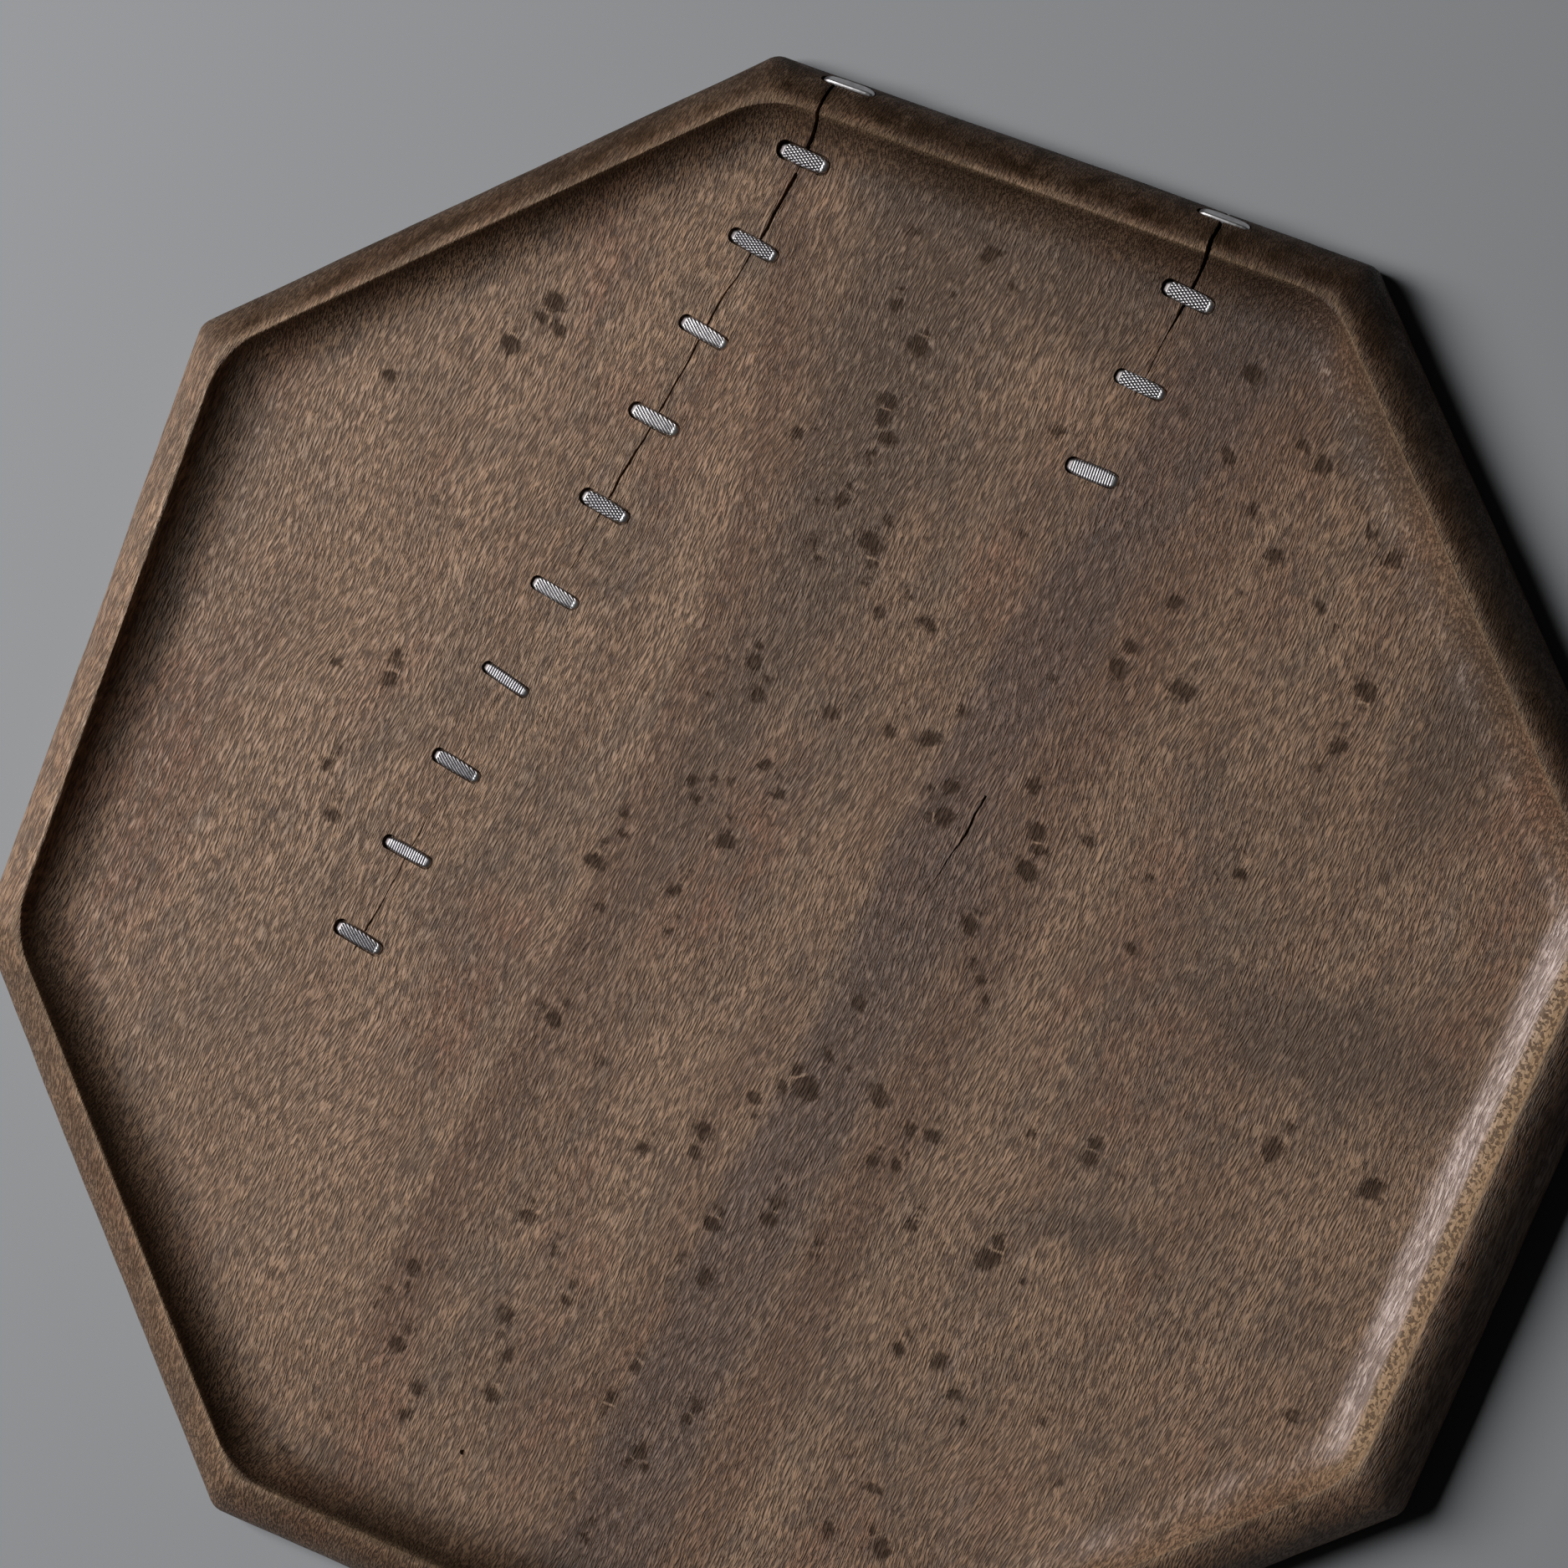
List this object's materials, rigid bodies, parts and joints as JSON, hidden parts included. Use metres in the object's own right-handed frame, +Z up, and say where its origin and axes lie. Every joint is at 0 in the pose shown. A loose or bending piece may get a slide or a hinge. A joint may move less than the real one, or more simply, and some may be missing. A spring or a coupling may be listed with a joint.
{
  "type": "octagonal wooden tray",
  "caption": "Shallow eight-sided wooden tray hollowed from one board, its drying cracks mended with small silver staples.",
  "frame": {"origin": "on the flat base, at the middle of the tray's outer box", "axes": "+Z up out of the hollow, +Y towards the corner beside the long crack's mouth, +X to the right of it seen from above"},
  "size_m": [0.3908, 0.3888, 0.02],
  "materials": {
    "wood": "fumed figured hardwood, planed and oiled, low sheen",
    "silver": "hammered silver, satin, slightly tarnished"
  },
  "bodies": {
    "root": {"long_crack_rim_staple": "silver", "long_crack_staple_01": "silver", "long_crack_staple_02": "silver", "long_crack_staple_03": "silver", "long_crack_staple_04": "silver", "long_crack_staple_05": "silver", "long_crack_staple_06": "silver", "long_crack_staple_07": "silver", "long_crack_staple_08": "silver", "long_crack_staple_09": "silver", "long_crack_staple_10": "silver", "short_crack_rim_staple": "silver", "short_crack_staple_1": "silver", "short_crack_staple_2": "silver", "short_crack_staple_3": "silver", "tray_body": "wood"}
  },
  "joints": []
}
